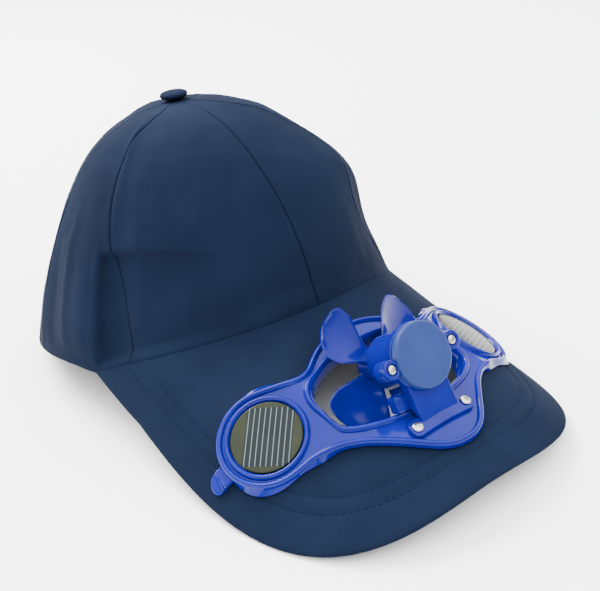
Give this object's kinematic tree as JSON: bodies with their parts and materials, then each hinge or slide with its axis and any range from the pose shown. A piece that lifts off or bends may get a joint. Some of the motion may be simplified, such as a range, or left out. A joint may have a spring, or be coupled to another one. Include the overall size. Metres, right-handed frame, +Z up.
{
  "type": "solar fan hat",
  "caption": "Cloth baseball cap whose curved peak carries a small spinning fan on a bracket, driven by round solar cells set in the fan's frame.",
  "frame": {"origin": "centre of the bounding box on the floor the hat rests on", "axes": "+Z up, -Y forward along the peak, +X to the wearer's left"},
  "size_m": [0.1696, 0.2914, 0.1295],
  "materials": {
    "navy_cloth": "matt cotton twill",
    "blue_plastic": "glossy moulded",
    "cover_plastic": "satin moulded",
    "cell": "glossy clear-coated cell",
    "screw_steel": "bright plated"
  },
  "bodies": {
    "hat": {"crown": "navy_cloth", "peak": "navy_cloth", "crown_button": "navy_cloth", "fan_frame": "blue_plastic", "motor_bracket": "blue_plastic", "motor_cover": "cover_plastic", "solar_cell_left": "cell", "solar_cell_right": "cell", "cover_screw_left": "screw_steel", "cover_screw_right": "screw_steel", "base_screw_left": "screw_steel", "base_screw_right": "screw_steel"},
    "fan": {"fan_rotor": "blue_plastic"}
  },
  "joints": [
    {"name": "fan_spin", "type": "hinge", "parent": "hat", "child": "fan", "pos_m": [-0.00012, -0.08684, 0.03953], "axis": [0, -0.8589, 0.5122], "continuous": true}
  ]
}
